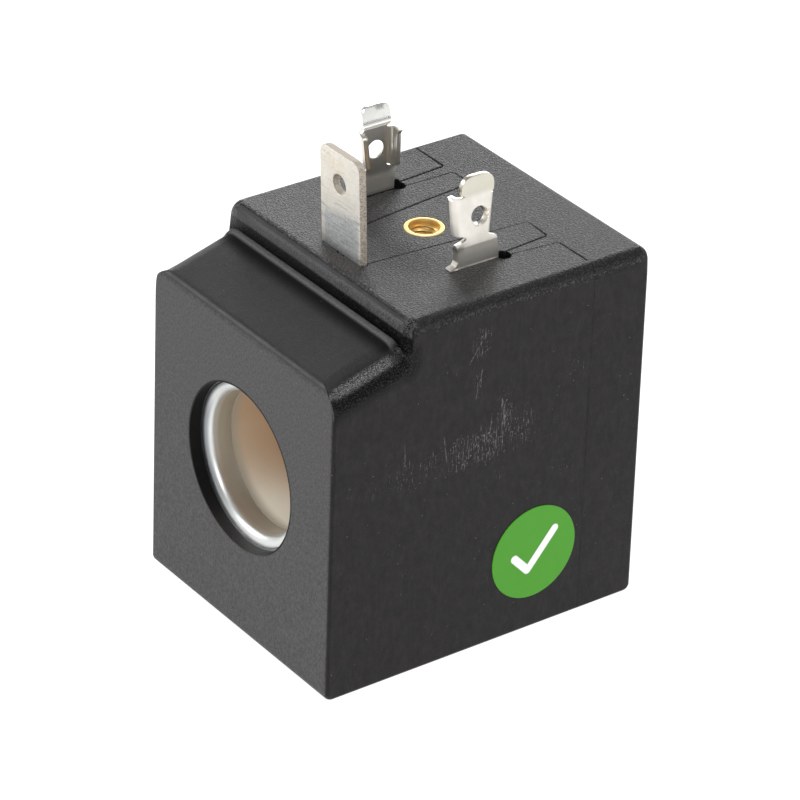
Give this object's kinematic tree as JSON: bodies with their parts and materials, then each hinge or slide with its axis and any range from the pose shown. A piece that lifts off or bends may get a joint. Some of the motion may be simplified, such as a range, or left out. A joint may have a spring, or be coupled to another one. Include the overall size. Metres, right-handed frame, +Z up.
{
  "type": "solenoid valve coil",
  "caption": "Overmoulded solenoid valve coil: black block with a through bore for an armature tube, steel-lined mouths, flat plug blades and a screw insert on top.",
  "frame": {"origin": "on the bore axis, half way along the bore", "axes": "+Y along the bore from the front mouth to the rear mouth, +Z up towards the blades, +X across the width"},
  "size_m": [0.0301, 0.0364, 0.0483],
  "materials": {
    "black_moulding": "satin, with spark-eroded texture on top",
    "cream_moulding": "satin",
    "enamelled_copper": "glossy enamel",
    "insulating_tape": "satin film",
    "sleeving": "matte",
    "solder": "satin",
    "tin_plate": "satin plating with rub marks",
    "zinc_steel": "bright zinc plating",
    "brass": "turned",
    "green_vinyl": "printed film"
  },
  "bodies": {
    "root": {"housing": "black_moulding", "bobbin": "cream_moulding", "winding": "enamelled_copper", "winding_tape": "insulating_tape", "start_lead": "enamelled_copper", "start_lead_patch": "insulating_tape", "finish_lead": "enamelled_copper", "finish_lead_sleeve": "sleeving", "solder_right": "solder", "solder_left": "solder", "terminal_right": "tin_plate", "terminal_left": "tin_plate", "ground_tab": "tin_plate", "ground_rivet": "zinc_steel", "yoke_frame": "zinc_steel", "front_flux_sleeve": "zinc_steel", "rear_flux_sleeve": "zinc_steel", "thread_insert": "brass", "inspection_sticker": "green_vinyl"}
  },
  "joints": []
}
